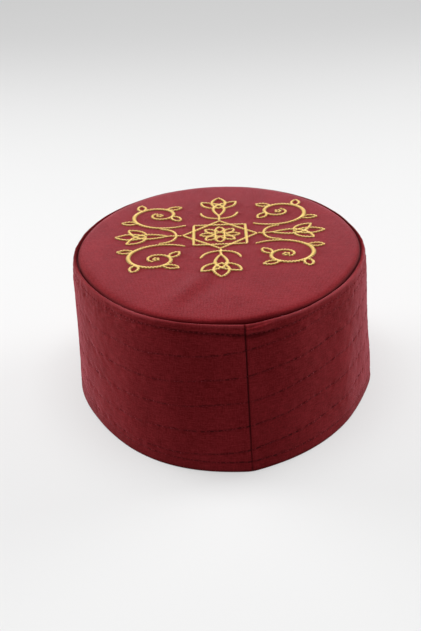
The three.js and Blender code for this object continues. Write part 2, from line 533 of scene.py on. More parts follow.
WAVE_TURN = 2 * np.pi / 20  # scale at which a wave texture has one band in each unit

cloth = bpy.data.materials.new("burgundy_gabardine")
cloth.use_nodes = True
cloth_uv = add_node(cloth, "ShaderNodeUVMap", {"uv_map": "cloth"}, {}).outputs["UV"]
threads = {}
for direction in ("X", "Y"):
    threads[direction] = add_node(
        cloth,
        "ShaderNodeTexWave",
        {"bands_direction": direction},
        {
            "Vector": cloth_uv,
            "Scale": WAVE_TURN / THREAD_PITCH,
            "Distortion": 1.2,
            "Detail": 1.0,
            "Detail Scale": 0.3,
        },
    ).outputs["Fac"]
weave = add_node(
    cloth, "ShaderNodeMath", {"operation": "MULTIPLY"}, {0: threads["X"], 1: threads["Y"]}
).outputs[0]
grain = add_node(
    cloth, "ShaderNodeTexNoise", {}, {"Vector": cloth_uv, "Scale": 1 / SPECK_SIZE, "Detail": 2.0}
).outputs["Fac"]
for slub_round, slub_up, slub_share in SLUBS:
    slub_space = add_node(
        cloth, "ShaderNodeMapping", {}, {"Vector": cloth_uv, "Scale": (1 / slub_round, 1 / slub_up, 1.0)}
    ).outputs["Vector"]
    slubs = add_node(
        cloth, "ShaderNodeTexNoise", {}, {"Vector": slub_space, "Scale": 1.0, "Detail": 2.0}
    ).outputs["Fac"]
    grain = add_node(
        cloth, "ShaderNodeMath", {"operation": "MULTIPLY_ADD"}, {0: slubs, 1: slub_share, 2: grain}
    ).outputs[0]
blotches = add_node(
    cloth, "ShaderNodeTexNoise", {}, {"Vector": cloth_uv, "Scale": 1 / BLOTCH_SIZE, "Detail": 4.0}
).outputs["Fac"]
yarn_tone = add_node(
    cloth,
    "ShaderNodeMapRange",
    {},
    {"Value": grain, "From Min": 1.2, "From Max": 1.8, "To Min": 0.06, "To Max": 0.76},
).outputs["Result"]
blotch_tone = add_node(
    cloth,
    "ShaderNodeMapRange",
    {},
    {"Value": blotches, "From Min": 0.35, "From Max": 0.7, "To Min": 0.0, "To Max": 0.3},
).outputs["Result"]
tone = add_node(cloth, "ShaderNodeMath", {"operation": "ADD"}, {0: yarn_tone, 1: blotch_tone}).outputs[0]
dyed = add_node(
    cloth,
    "ShaderNodeMix",
    {"data_type": "RGBA"},
    {"Factor": tone, 6: linear(CLOTH_RED), 7: linear(CLOTH_PALE)},
).outputs[2]
painted_shade, row, depth_in_rings, tight, stitch = [
    add_node(cloth, "ShaderNodeAttribute", {"attribute_name": name}, {}).outputs["Fac"]
    for name in ("painted_shade", "row", "ring", "tight", "stitch")
]
# Where the first attribute above is over 0 it paints shade into the cloth; below 0 it paints a pale
# highlight.
highlight_share = add_node(cloth, "ShaderNodeMath", {"operation": "MULTIPLY"}, {0: painted_shade, 1: -1.0}).outputs[0]
highlighted = add_node(
    cloth,
    "ShaderNodeMix",
    {"data_type": "RGBA"},
    {"Factor": highlight_share, 6: dyed, 7: linear(CLOTH_HIGHLIGHT)},
).outputs[2]
shaded = add_node(
    cloth,
    "ShaderNodeMix",
    {"name": "shaded", "data_type": "RGBA"},
    {"Factor": painted_shade, 6: highlighted, 7: linear(CLOTH_DEEP)},
).outputs[2]

# The dents under the stitches are finer than the mesh: painted shade draws a dark, sunken line along each
# row, broken between stitches except where the row is pulled hardest. The same mask sinks the bump.
in_rows = add_node(cloth, "ShaderNodeMath", {"operation": "PINGPONG"}, {0: row, 1: 0.5}).outputs[0]
beyond_rings = add_node(
    cloth, "ShaderNodeMath", {"operation": "LESS_THAN"}, {0: depth_in_rings, 1: 0.0}
).outputs[0]
spiral_near = add_node(
    cloth, "ShaderNodeMath", {"operation": "MULTIPLY_ADD"}, {0: in_rows, 1: ROW_DROP, 2: beyond_rings}
).outputs[0]
ring_near = add_node(cloth, "ShaderNodeMath", {"operation": "ABSOLUTE"}, {0: depth_in_rings}).outputs[0]
row_near = add_node(
    cloth, "ShaderNodeMath", {"operation": "MINIMUM"}, {0: spiral_near, 1: ring_near}
).outputs[0]
row_line = add_node(
    cloth,
    "ShaderNodeMapRange",
    {"interpolation_type": "SMOOTHSTEP"},
    {"Value": row_near, "From Min": 0.0, "From Max": DENT_HALF, "To Min": 1.0, "To Max": 0.0},
).outputs["Result"]
over_tight = add_node(
    cloth, "ShaderNodeMath", {"operation": "SUBTRACT"}, {0: tight, 1: BRIDGE_PULL}
).outputs[0]
bridged = add_node(
    cloth, "ShaderNodeMath", {"operation": "MAXIMUM"}, {0: over_tight, 1: BRIDGE_LEAST}
).outputs[0]
from_hole = add_node(cloth, "ShaderNodeMath", {"operation": "PINGPONG"}, {0: stitch, 1: 0.5}).outputs[0]
hole = add_node(
    cloth,
    "ShaderNodeMapRange",
    {"interpolation_type": "SMOOTHSTEP"},
    {"Value": from_hole, "From Min": 0.18, "From Max": 0.32, "To Min": 1.0, "To Max": bridged},
).outputs["Result"]
tension = add_node(
    cloth, "ShaderNodeTexNoise", {}, {"Vector": cloth_uv, "Scale": 1 / TENSION_SIZE, "Detail": 1.0}
).outputs["Fac"]
uneven = add_node(
    cloth,
    "ShaderNodeMapRange",
    {},
    {"Value": tension, "From Min": 0.35, "From Max": 0.65, "To Min": 0.25, "To Max": 0.7},
).outputs["Result"]
pull = add_node(cloth, "ShaderNodeMath", {"operation": "MULTIPLY"}, {0: uneven, 1: tight}).outputs[0]
pulled_line = add_node(cloth, "ShaderNodeMath", {"operation": "MULTIPLY"}, {0: row_line, 1: pull}).outputs[0]
dent = add_node(cloth, "ShaderNodeMath", {"operation": "MULTIPLY"}, {0: pulled_line, 1: hole}).outputs[0]
dent_shaded = add_node(
    cloth,
    "ShaderNodeMix",
    {"data_type": "RGBA"},
    {"Factor": dent, 6: shaded, 7: linear(CLOTH_DEEP)},
).outputs[2]
threads_up = add_node(
    cloth, "ShaderNodeMath", {"operation": "MULTIPLY_ADD"}, {0: grain, 1: GRAIN_RELIEF, 2: weave}
).outputs[0]
relief = add_node(
    cloth, "ShaderNodeMath", {"operation": "MULTIPLY_ADD"}, {0: dent, 1: -DENT_RELIEF, 2: threads_up}
).outputs[0]
cloth_bump = add_node(
    cloth, "ShaderNodeBump", {}, {"Height": relief, "Strength": 0.35, "Distance": 0.0002}
).outputs["Normal"]
# The painted shade also takes away the sheen, and the painted highlight adds to it.
bloom = add_node(
    cloth,
    "ShaderNodeMath",
    {"name": "bloom", "operation": "MULTIPLY_ADD", "use_clamp": True},
    {0: painted_shade, 1: -CLOTH_BLOOM, 2: CLOTH_BLOOM},
).outputs[0]
feed(cloth, cloth.node_tree.nodes["Principled BSDF"], {
    "Base Color": dent_shaded,
    "Normal": cloth_bump,
    "Roughness": 0.82,
    "IOR": 1.45,
    "Specular IOR Level": 0.06,
    "Sheen Weight": bloom,
    "Sheen Roughness": 0.22,
    "Sheen Tint": linear(SHEEN_PINK),
})

section = np.concatenate([outside_section, inside_section])
insets, heights = section[:, :1], section[:, 1:]
bearings = columns[None, :]
outside_weight = np.zeros((len(section), 1))
outside_weight[: len(outside_section)] = 1
outside_weight *= np.clip(heights / (2 * RIM_ROUND), 0, 1)
outside_weight *= np.clip((SEAM_INSET - insets) / LIP_FOLD, 0, 1)
in_lip = lip_share(heights)
past_fold = np.clip((insets - LIP_FOLD) / (SEAM_INSET - LIP_FOLD), 0, 1) * in_lip
lift = bells(bearings, LIP_LIFTS)
band_insets = insets + past_fold * bells(bearings, SEAM_SHIFTS)
band_heights = heights + in_lip * (lift - past_fold * np.maximum(lift, 0))
band_relief = quilting(bearings, heights) * outside_weight
band_points = band_point(bearings, band_insets - band_relief, band_heights)
band_faces = ring_faces(len(section) + 1, len(columns)) % band_points[..., 0].size
section_length = np.concatenate([[0], np.cumsum(np.linalg.norm(np.diff(section, axis=0), axis=1))])
band_uv = np.stack(np.broadcast_arrays(girth_at(bearings), section_length[:, None]), axis=-1)

# Painted shade on the band, dark down in the upright seam, the valley behind the lip and the groove under it,
# at the rim, along the foot of the wall and on the lip round the back; and a painted highlight along the fold
# of the lip, which has a value below 0.
SEAM_DARK = 0.8
SEAM_PALER = 0.5  # less dark by this share at the rim
SEAM_PALER_REACH = 0.018
VALLEY_DARK = 0.8
VALLEY_HALF = 0.0005
GROOVE_DARK = 0.35
# painted shade at the bottom edge of the rim, where it meets the floor
RIM_DARK = 0.75
RIM_DARK_REACH = 0.0012
# Painted shade along the foot of the wall where it meets the floor, left out at the front.
CONTACT_SHADE = 0.3
CONTACT_SHADE_REACH = 0.006
UNSHADED_FRONT = 45
# painted shade on the lip round the back
LIP_DARK = 0.5
LIP_DARK_FROM = 70  # degrees from the seam
LIP_DARK_FADE = 20
LIP_DARK_DEPTH = 0.002
LIP_DARK_EDGE = 0.001
# Painted highlight along the fold of the lip.
LIP_PALE = 0.22
LIP_PALE_OUTSIDE = 0.0010  # reach below the fold, on the wall and on the side of the crown
LIP_PALE_INSIDE = 0.0003
LIP_HIGHLIGHTS = (
    # bearing from the seam, spread in degrees, and how much more painted highlight the lip gets there
    (-52, 12, -0.12),
    (-36, 10, 0.12),
    (-18, 9, -0.14),
    (4, 5, -0.15),
    (34, 12, 0.12),
    (64, 14, -0.18),
    (-95, 32, -0.20),
    (115, 30, -0.20),
)
# Painted shade in the seam, the valley behind the lip and the groove under it, and at the rim.
seam_crease = SEAM_DARK * bell(seam_distance(bearings), SEAM_HALF)
seam_crease = seam_crease * (1 - SEAM_PALER * bell(heights, SEAM_PALER_REACH))
valley_crease = VALLEY_DARK * bell(heights - SEAM_HEIGHT, VALLEY_HALF) * (insets > LIP_FOLD)
from_topstitch = heights - topstitch_height(bearings)
groove_crease = GROOVE_DARK * bell(from_topstitch, GROOVE_HALF) * groove_share(bearings)
seams = np.maximum(np.maximum(seam_crease, groove_crease) * outside_weight, valley_crease)
rim_edge = RIM_DARK * bell(heights, RIM_DARK_REACH) * (insets < RIM_ROUND)
contact_shade = CONTACT_SHADE * bell(heights, CONTACT_SHADE_REACH) * (1 - bell(wrapped(bearings), UNSHADED_FRONT)) * outside_weight
lip_back = LIP_DARK * np.clip((np.abs(wrapped(bearings)) - LIP_DARK_FROM) / LIP_DARK_FADE, 0, 1)
lip_back = lip_back * np.clip((heights - LIP_TOP + LIP_DARK_DEPTH) / LIP_DARK_EDGE, 0, 1)
pale_reach = np.where(insets < LIP_FOLD, LIP_PALE_OUTSIDE, LIP_PALE_INSIDE)
lip_edge = bell(np.maximum(LIP_TOP - heights, 0), pale_reach) * (heights > lip[0, 1])
# painted highlight on the fold of the lip
lip_highlight = (LIP_PALE + bells(bearings, LIP_HIGHLIGHTS)) * lip_edge
band_crease = np.maximum(seams + rim_edge, np.maximum(contact_shade, lip_back)) - lip_highlight * (1 - seams)
on_spiral = spiral_distance(bearings, heights) < np.abs(from_topstitch)
row_pitch = np.where(on_spiral, ROW_STITCH, TOPSTITCH)
band_shade = {
    "painted_shade": band_crease,
    "row": spiral_rows(bearings, heights),
    "ring": ring_depth(bearings, heights),
    "tight": tightness(bearings, heights),
    "stitch": girth_at(bearings) / row_pitch + (1 - STITCH_SHARE) / 2,
}
side_band = piece(
    "side_band_cloth",
    band_points.reshape(-1, 3),
    band_faces.tolist(),
    band_uv.reshape(-1, 2),
    cloth,
    band_shade,
)
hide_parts("side_band")


# Stitches of the band
# Dark burgundy sewing thread: each stitch is a short length of thread that comes up out of one needle hole,
# lies along its row in a dent of the cloth and goes down through the next.

STITCH_RADIUS = 0.00023
STITCH_LIFT = 0.00030
STITCH_DIVE = 0.00022
STITCH_ARCH = 0.6  # power of the sine: the lower, the flatter the arch
SLACK_SINK = 0.00014
STITCH_SLANT = 0.0003
STITCH_LATE = 0.05  # share of the pitch by which a stitch may start early or late
STITCH_LENGTHS = (0.85, 1.1)
THREAD_RINGS = 6


def thread_lengths(centres, up, radius):
    """Six-sided tubes round rows of centre points, closed at both ends: each ring is a hexagon square to its
    row. Returns points, faces and a UV map of the metres along and the turn around each thread."""
    tangent = np.gradient(centres, axis=1)
    tangent = tangent / np.linalg.norm(tangent, axis=-1, keepdims=True)
    side = np.cross(tangent, up)
    side = side / np.linalg.norm(side, axis=-1, keepdims=True)
    top = np.cross(side, tangent)
    turn = np.radians(np.arange(0, 360, 60))[:, None]
    ring = np.cos(turn) * side[:, :, None, :] + np.sin(turn) * top[:, :, None, :]
    points = centres[:, :, None, :] + radius[None, :, None, None] * ring
    rows, rings = centres.shape[:2]
    index = np.arange(rows * rings * 6).reshape(rows, rings, 6)
    after = np.roll(index, -1, axis=2)
    walls = np.stack([index[:, :-1], index[:, 1:], after[:, 1:], after[:, :-1]], axis=-1).reshape(-1, 4)
    first, last = index[:, 0], index[:, -1]
    halves = ([0, 1, 2, 3], [0, 3, 4, 5])
    ends = [first[:, half] for half in halves] + [last[:, half[::-1]] for half in halves]
    along = np.cumsum(np.linalg.norm(np.diff(centres, axis=1, prepend=centres[:, :1]), axis=-1), axis=1)
    uv = np.stack(np.broadcast_arrays(along[:, :, None], np.arange(6) / 6), axis=-1)
    return points.reshape(-1, 3), np.concatenate([walls, *ends]), uv.reshape(-1, 2)


def sewn_row(from_column, to_column, height_at, pitch):
    """Centres of the stitches of one row between two bearings: steps along the girth that vary a little,
    with a slight slant, arched over the cloth from hole to hole. Where the row is slack they lie deeper."""
    ends = girth_at(np.array([from_column, to_column], dtype=float))
    starts = pitch * np.arange(np.ceil(ends.min() / pitch), np.floor(ends.max() / pitch))
    draws = np.random.default_rng(len(starts))
    late = draws.uniform(-STITCH_LATE, STITCH_LATE, starts.size)
    length = draws.uniform(*STITCH_LENGTHS, starts.size)
    slant = draws.normal(0, STITCH_SLANT, starts.size)
    share = np.linspace(0, 1, THREAD_RINGS)
    span = pitch * STITCH_SHARE * length
    column = column_at(starts[:, None] + pitch * late[:, None] + span[:, None] * share)
    height = height_at(column) + slant[:, None] * (share - 0.5)
    arch = STITCH_LIFT * np.sin(np.pi * share) ** STITCH_ARCH - STITCH_DIVE
    slack = np.clip(1 - tightness(column, height), 0, 1) * (height < SLACK_HEIGHT)
    arch = arch - SLACK_SINK * slack
    return outside_point(column, height) + outward(column) * arch[..., None], outward(column)


# Spun polyester sewing thread: two plies twisted together, so it has slanting ribs and little gloss.
THREAD_DARK = "#560d11"
THREAD_LIGHT = "#7c2027"
PLY_LENGTH = 0.0009

sewing_thread = bpy.data.materials.new("burgundy_sewing_thread")
sewing_thread.use_nodes = True
thread_uv = add_node(sewing_thread, "ShaderNodeUVMap", {"uv_map": "cloth"}, {}).outputs["UV"]
ply_space = add_node(
    sewing_thread, "ShaderNodeMapping", {}, {"Vector": thread_uv, "Scale": (1 / PLY_LENGTH, 1.0, 1.0)}
).outputs["Vector"]
plies = add_node(
    sewing_thread,
    "ShaderNodeTexWave",
    {"bands_direction": "DIAGONAL"},
    {"Vector": ply_space, "Scale": WAVE_TURN, "Distortion": 0.6},
).outputs["Fac"]
thread_tone = add_node(
    sewing_thread,
    "ShaderNodeMix",
    {"data_type": "RGBA"},
    {"Factor": plies, 6: linear(THREAD_DARK), 7: linear(THREAD_LIGHT)},
).outputs[2]
thread_bump = add_node(
    sewing_thread, "ShaderNodeBump", {}, {"Height": plies, "Strength": 0.5, "Distance": 0.0001}
).outputs["Normal"]
feed(sewing_thread, sewing_thread.node_tree.nodes["Principled BSDF"], {
    "Base Color": thread_tone,
    "Normal": thread_bump,
    "Roughness": 0.8,
    "Specular IOR Level": 0.08,
    "Sheen Weight": 0.38,
    "Sheen Roughness": 0.22,
    "Sheen Tint": linear(SHEEN_PINK),
})

stitch_taper = STITCH_RADIUS * np.array([0.7, 1, 1, 1, 1, 0.7])
for name, row in {
    "quilting_stitches": sewn_row(SPIRAL_TO, SPIRAL_FROM, row_height, ROW_STITCH),
    "topstitches": sewn_row(1, 359, topstitch_height, TOPSTITCH),
    "edge_stitches": sewn_row(1, 359, lambda column: np.full_like(column, EDGE_STITCH_HEIGHT), ROW_STITCH),
}.items():
    points, faces, uv = thread_lengths(*row, stitch_taper)
    stitches = piece(name, points, faces.tolist(), uv, sewing_thread, {})


# Crown
# A flat oval panel of the same cloth over a stiffening, sewn into the band's lip. Its edge rounds down into
# the seam, the middle hangs a little, and a few soft creases cross it.

CROWN_THICKNESS = 0.0018
CROWN_SAG = 0.0009  # the middle hangs this far below the edge's shoulder
SEAM_GAP = 0.00015
EDGE_DROP = 0.0022
EDGE_REACH = 0.0009
SHOULDER_DROP = 0.0003
SHOULDER_REACH = 0.006
SHALLOW = 0.35  # share of both drops that is missing on two stretches of the front
SHALLOW_STRETCHES = (
    # bearing from the seam and spread in degrees
    (-22, 18),
    (26, 16),
)
FALL_REACH = 0.016
FRONT_FALL = (
    # bearing from the seam, spread in degrees, and metres that the panel falls towards the edge there
    (22, 18, 0.0004),
)
EDGE_ROLL = (
    # bearing from the seam, spread in degrees, and metres added to the reach of the edge there
    (-65, 28, 0.0008),
)
CREASES = (
    # centre, direction in degrees from +X, half length, half width and height
    (-0.020, -0.064, 66, 0.016, 0.0045, 0.0010),
    (-0.009, -0.060, 62, 0.016, 0.0050, -0.0006),
    (0.040, 0.030, 20, 0.030, 0.014, -0.0004),
)


def crown_edge(column):
    """Plan of the crown's sewn edge at a bearing from the seam."""
    inset = SEAM_INSET + bells(column, SEAM_SHIFTS) + SEAM_GAP
    return band_point(column, inset, np.full_like(column, HEIGHT))[..., :2]


crown_bearings = np.linspace(0, 360, 721)
crown_rim = crown_edge(crown_bearings) - OVAL_CENTRE
crown_angles = np.unwrap(np.arctan2(crown_rim[:, 0], -crown_rim[:, 1]))
crown_radii = np.hypot(crown_rim[:, 0], crown_rim[:, 1])


def crown_height(x, y):
    """Height of the crown's upper face: a shallow hollow, a shoulder and an edge that drop off exponentially
    into the seam, less on two stretches of the front and more softly at the left, a long fall at the right
    of the front, and bell-shaped creases along their own directions."""
    east, north = x - OVAL_CENTRE[0], y - OVAL_CENTRE[1]
    angle = np.mod(np.arctan2(east, -north) - crown_angles[0], 2 * np.pi) + crown_angles[0]
    edge = np.interp(angle, crown_angles, crown_radii)
    radius = np.minimum(np.hypot(east, north), edge)
    share = radius / edge
    height = HEIGHT - CROWN_SAG * (1 - share**2)
    bearing = np.degrees(angle) - SEAM_AT_TOP
    shallow = [bell(wrapped(bearing - at), spread) for at, spread in SHALLOW_STRETCHES]
    full = 1 - SHALLOW * np.maximum(*shallow)
    drops = (
        (EDGE_DROP * full, EDGE_REACH + bells(bearing, EDGE_ROLL)),
        (SHOULDER_DROP * full, SHOULDER_REACH),
        (bells(bearing, FRONT_FALL), FALL_REACH),
    )
    for drop, reach in drops:
        height = height - drop * np.exp((radius - edge) / reach)
    for at_x, at_y, turn, length, width, rise in CREASES:
        c, s = np.cos(np.radians(turn)), np.sin(np.radians(turn))
        along = ((x - at_x) * c + (y - at_y) * s) / length
        across = ((y - at_y) * c - (x - at_x) * s) / width
        height = height + rise * np.exp(-0.5 * (along**2 + across**2)) * (1 - share**4)
    return height


CROWN_COLUMNS = 420
CROWN_RINGS = 70
FIRST_RING = 0.003  # shares of the radius from the edge to the first and the last ring
LAST_RING = 0.97
LOWER_EVERY = 6  # the lower face has every sixth ring
SIDE_STEPS = 4
# Painted shade on the crown: on its cut side, and along its edge down in the seam.
SIDE_DARK = 0.8
EDGE_DARK = 0.90
EDGE_SHADE = 0.0011  # reach of the dark edge
EDGE_SHADES = (
    # bearing from the seam, spread in degrees, and metres that the painted shade at the edge reaches further
    # there
    (-22, 14, -0.0002),
    (28, 13, -0.0006),
    (1, 7, 0.0006),
)

crown_columns = np.linspace(0, 360, CROWN_COLUMNS, endpoint=False)
crown_plan = crown_edge(crown_columns)
shares = 1 - np.concatenate([[0], np.geomspace(FIRST_RING, LAST_RING, CROWN_RINGS)])
upper_xy = np.array(OVAL_CENTRE) + (crown_plan - OVAL_CENTRE) * shares[:, None, None]
upper_z = crown_height(upper_xy[..., 0], upper_xy[..., 1])
upper = np.concatenate([upper_xy, upper_z[..., None]], axis=-1)
lower = upper[::LOWER_EVERY][::-1] - (0, 0, CROWN_THICKNESS)
side_depths = CROWN_THICKNESS * np.linspace(1, 0, SIDE_STEPS + 1)[1:-1, None, None]
side = upper[:1] - np.array([0, 0, 1]) * side_depths
crown_rings = np.concatenate([lower, side, upper])
middle_z = crown_height(np.array(OVAL_CENTRE[0]), np.array(OVAL_CENTRE[1]))
poles = np.array([(*OVAL_CENTRE, middle_z - CROWN_THICKNESS), (*OVAL_CENTRE, middle_z)])
crown_points = np.concatenate([crown_rings.reshape(-1, 3), poles])
here = np.arange(CROWN_COLUMNS)
after = (here + 1) % CROWN_COLUMNS
last_ring = (len(crown_rings) - 1) * CROWN_COLUMNS
lower_pole, upper_pole = len(crown_points) - 2, len(crown_points) - 1
lower_fan = np.stack([after, here, np.full_like(here, lower_pole)], axis=1)
upper_fan = np.stack([last_ring + here, last_ring + after, np.full_like(here, upper_pole)], axis=1)
crown_faces = ring_faces(len(crown_rings), CROWN_COLUMNS).tolist() + lower_fan.tolist() + upper_fan.tolist()
edge_radius = np.linalg.norm(crown_plan - OVAL_CENTRE, axis=1)
edge_reach = EDGE_SHADE + bells(crown_columns, EDGE_SHADES)
upper_crease = EDGE_DARK * bell((1 - shares)[:, None] * edge_radius, edge_reach)
crown_crease = np.concatenate([
    np.zeros(lower[..., 0].size),
    np.full(side[..., 0].size, SIDE_DARK),
    upper_crease.ravel(),
    np.zeros(len(poles)),
])
no_rows = np.full(len(crown_points), 0.5)
crown_shade = {
    "painted_shade": crown_crease,
    "row": no_rows,
    "ring": no_rows,
    "tight": 0 * no_rows,
    "stitch": no_rows,
}

# The same gabardine, steamed flat for the embroidery: its nap is more open, so it blooms more and at wider
# angles. The shade painted along its edge, down in the seam, is a deep red.
PRESSED_PINK = "#ffbccb"
PRESSED_BLOOM = 0.57
SEAM_SHADE_RED = "#4a060b"

pressed_cloth = cloth.copy()
pressed_cloth.name = "burgundy_gabardine_pressed"
for node, inputs in {
    "shaded": {7: linear(SEAM_SHADE_RED)},
    "bloom": {1: -PRESSED_BLOOM, 2: PRESSED_BLOOM},
    "Principled BSDF": {"Sheen Roughness": 0.27, "Sheen Tint": linear(PRESSED_PINK)},
}.items():
    feed(pressed_cloth, pressed_cloth.node_tree.nodes[node], inputs)
crown = piece("crown_cloth", crown_points, crown_faces, crown_points[:, :2], pressed_cloth, crown_shade)
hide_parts("crown")


# Gold embroidery
# An eight-pointed star with tulips and curling tendrils, sewn on the crown in glossy gold thread. Every line
# is a narrow zigzag column that swells along a long line: the thread crosses it from side to side over two
# rows of running stitches. The crossings are drawn wider apart than real ones, so that they show.

ORNAMENT_CENTRE = np.array([0.0, 0.015])
COLUMN_WIDTH = 0.0013
COLUMN_END = 0.35  # share of the width that a line keeps at its ends
COLUMN_SWELL = 0.0014
SWELL_LENGTH = 0.06  # lines of this length or more swell fully
CROSSING_STEP = 0.00094
UNDERLAY_STITCH = 0.0024
UNDERLAY_PIECES = THREAD_RINGS - 1
UNDERLAY_SIDE = 0.2  # of the width, to each side of the middle
UNDERLAY_RADIUS = 0.00024
GOLD_RADIUS = 0.00026
GOLD_LIFT = 0.00070
GOLD_DIVE = 0.00016
GOLD_ARCH = 0.5
LINE_POINTS = 40
BOW_POINTS = 60
CURL_POINTS = 240


def line(a, b):
    """Straight line of points."""
    return np.array(a) + (np.array(b) - a) * np.linspace(0, 1, LINE_POINTS)[:, None]


def bow(a, b, bulge):
    """Curve from a to b that swings out sideways by the bulge: a parabola on the chord."""
    a, b = np.array(a, dtype=float), np.array(b, dtype=float)
    chord = b - a
    normal = np.array([-chord[1], chord[0]]) / np.linalg.norm(chord)
    share = np.linspace(0, 1, BOW_POINTS)[:, None]
    return a + chord * share + normal * bulge * 4 * share * (1 - share)


def curl(centre, from_radius, to_radius, from_turn, to_turn):
    """Spiral about a centre whose radius shrinks by the same ratio for each degree."""
    share = np.linspace(0, 1, CURL_POINTS)[:, None]
    radius = from_radius * (to_radius / from_radius) ** share
    angle = np.radians(from_turn + (to_turn - from_turn) * share)
    return np.array(centre) + radius * np.concatenate([np.cos(angle), np.sin(angle)], axis=1)


def turned(curve, degrees):
    """A curve turned about the ornament's centre."""
    c, s = np.cos(np.radians(degrees)), np.sin(np.radians(degrees))
    return curve @ np.array([[c, s], [-s, c]])


STAR_HALF = 0.0150
STAR_RING = 0.0030
PETAL_FROM = (0.0035, 0.0)
PETAL_TO = (0.0115, 0.0)
PETAL_BULGE = 0.0024
TULIP_STEM = ((0.0220, 0.0), (0.0300, 0.0))
TULIP_CURVES = (
    # from, to and bulge to the left, for one half of a tulip that points along +X
    ((0.0300, 0.0), (0.0530, 0.0105), -0.0085),
    ((0.0530, 0.0105), (0.0420, 0.0020), -0.0030),
    ((0.0420, 0.0), (0.0600, 0.0), 0.0042),
    ((0.0250, 0.0), (0.0345, 0.0110), 0.0030),
)
TENDRIL_CENTRE = np.array([0.0355, 0.0335])
TENDRIL_RADII = (0.0235, 0.0035)
TENDRIL_START = 228
TENDRIL_TURN = 560
TENDRIL_EYE = 0.0016
LEAVES = (0.16, 0.30, 0.44, 0.58)  # shares of the tendril's turn
LEAF_OUT = 0.0085
LEAF_AHEAD = 0.0070
LEAF_BULGE = 0.0024
LEAF_HEADING = 4  # points of the tendril over which its direction is taken


def star():
    """Two squares, one turned by half a right angle, round a flower of eight petals and a small ring."""
    corners = [(-STAR_HALF, -STAR_HALF), (STAR_HALF, -STAR_HALF), (STAR_HALF, STAR_HALF)]
    square = [line(*corners[:2]), line(*corners[1:])]
    square += [turned(side, 180) for side in square]
    petal = [bow(PETAL_FROM, PETAL_TO, bulge) for bulge in (PETAL_BULGE, -PETAL_BULGE)]
    petals = [turned(half, 45 * n) for n in range(8) for half in petal]
    ring = curl((0, 0), STAR_RING, STAR_RING, 0, 360)
    return square + [turned(side, 45) for side in square] + petals + [ring]


def tulips():
    """Four tulips on short stems, one on each side of the star: a pointed middle petal between two that curl
    outwards."""
    flower = [line(*TULIP_STEM)]
    for side in (1, -1):
        for a, b, bulge in TULIP_CURVES:
            flower.append(bow(np.multiply(a, (1, side)), np.multiply(b, (1, side)), bulge * side))
    return [turned(curve, 90 * n) for n in range(4) for curve in flower]


def tendrils():
    """A curling tendril with leaves in each of the four corners between the tulips."""
    stem = curl(TENDRIL_CENTRE, *TENDRIL_RADII, TENDRIL_START, TENDRIL_START + TENDRIL_TURN)
    made = [stem]
    for share in LEAVES:
        at = int(share * len(stem))
        start = stem[at]
        away = start - TENDRIL_CENTRE
        ahead = stem[at + LEAF_HEADING] - start
        tip = start + away / np.linalg.norm(away) * LEAF_OUT + ahead / np.linalg.norm(ahead) * LEAF_AHEAD
        made += [bow(start, tip, LEAF_BULGE), bow(start, tip, -LEAF_BULGE)]
    made.append(curl(TENDRIL_CENTRE, TENDRIL_EYE, TENDRIL_EYE, 0, 360))
    return [curve * (x, y) for x in (1, -1) for y in (1, -1) for curve in made]


def satin_line(curve, step):
    """Points at equal steps along a curve, the sideways direction there, and the width of the column of
    stitches: it narrows at both ends and is widest in the middle, the more so on a long curve."""
    steps = np.linalg.norm(np.diff(curve, axis=0), axis=1)
    length = np.concatenate([[0], np.cumsum(steps)])
    at = np.linspace(0, length[-1], max(int(length[-1] / step), UNDERLAY_PIECES) + 1)
    spine = np.stack([np.interp(at, length, curve[:, i]) for i in (0, 1)], axis=1)
    heading = np.gradient(spine, axis=0)
    sideways = np.stack([-heading[:, 1], heading[:, 0]], axis=1)
    sideways = sideways / np.linalg.norm(heading, axis=1, keepdims=True)
    taper = np.clip(np.minimum(at, length[-1] - at) / COLUMN_WIDTH + COLUMN_END, 0, 1)
    swell = COLUMN_SWELL * min(length[-1] / SWELL_LENGTH, 1) * np.sin(np.pi * at / length[-1])
    return spine + ORNAMENT_CENTRE, sideways, (taper * COLUMN_WIDTH + swell)[:, None]


def zigzag(curve):
    """Thread crossings along a curve: points at equal steps on alternate sides of the column, joined by
    arches over the crown."""
    spine, sideways, width = satin_line(curve, CROSSING_STEP)
    side = np.where(np.arange(len(spine)) % 2, 0.5, -0.5)[:, None]
    ends = spine + sideways * side * width
    share = np.linspace(0, 1, THREAD_RINGS)
    plan = ends[:-1, None] + (ends[1:] - ends[:-1])[:, None] * share[:, None]
    arch = GOLD_LIFT * np.sin(np.pi * share) ** GOLD_ARCH - GOLD_DIVE
    height = crown_height(plan[..., 0], plan[..., 1]) + arch
    return np.concatenate([plan, height[..., None]], axis=-1)


def underlay(curve):
    """Two rows of running stitches along a curve, one on each side of its middle. The crossings lie over
    them, and they fill the column."""
    spine, sideways, width = satin_line(curve, UNDERLAY_STITCH / UNDERLAY_PIECES)
    starts = np.arange(0, len(spine) - UNDERLAY_PIECES, UNDERLAY_PIECES)[:, None]
    points = starts + np.arange(UNDERLAY_PIECES + 1)
    rows = [spine + sideways * side * width for side in (-UNDERLAY_SIDE, UNDERLAY_SIDE)]
    plan = np.concatenate([row[points] for row in rows])
    height = crown_height(plan[..., 0], plan[..., 1])
    return np.concatenate([plan, height[..., None]], axis=-1)


# Rayon embroidery thread: smooth, bright filaments laid nearly straight, so each crossing catches the light
# in a pale streak along its top. It is gold yellow; shade is painted dark brown and without gloss at the ends
# of each crossing, where it dives into the cloth, and on the underlay that lies beneath the crossings.
GOLD = "#fff09c"
GOLD_DEEP = "#facb6c"
GOLD_SHADE = "#6b3a06"
GOLD_GLINT = "#ffd9b8"
FILAMENT = 0.00012

